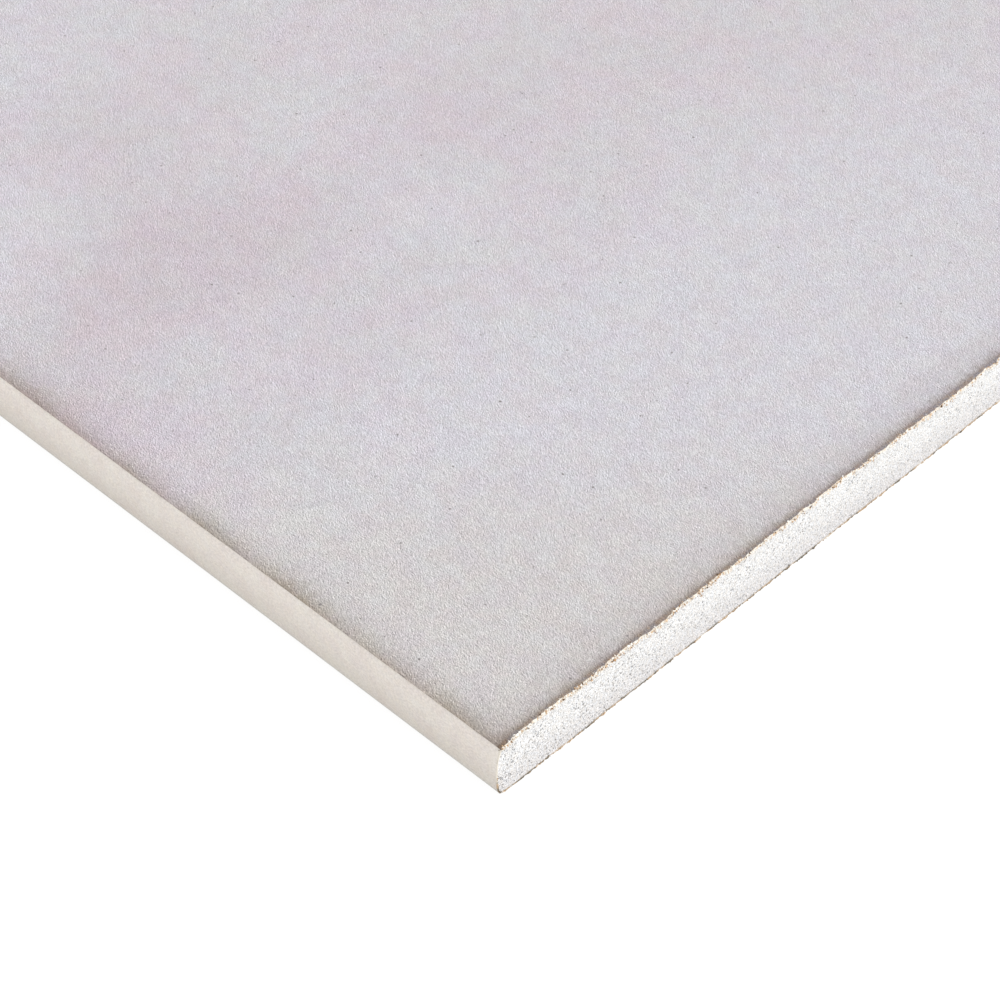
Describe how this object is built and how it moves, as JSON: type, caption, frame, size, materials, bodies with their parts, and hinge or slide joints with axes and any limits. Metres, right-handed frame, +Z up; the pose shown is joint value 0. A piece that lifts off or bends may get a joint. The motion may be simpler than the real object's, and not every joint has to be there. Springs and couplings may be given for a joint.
{
  "type": "drywall sheet",
  "caption": "Square-edge drywall sheet for lining walls and ceilings: white gypsum core, ivory face paper wrapped round the long edges, grey back paper.",
  "frame": {"origin": "centre of the finished side, which lies on the floor", "axes": "+X along the sheet's length, +Y across its width, +Z up through its thickness towards the back paper"},
  "size_m": [2.4384, 1.2192, 0.0127],
  "materials": {
    "gypsum": "matte",
    "ivory_face_paper": "matte",
    "grey_back_paper": "matte"
  },
  "bodies": {
    "root": {"gypsum_core": "gypsum", "face_paper": "ivory_face_paper", "back_paper": "grey_back_paper"}
  },
  "joints": []
}
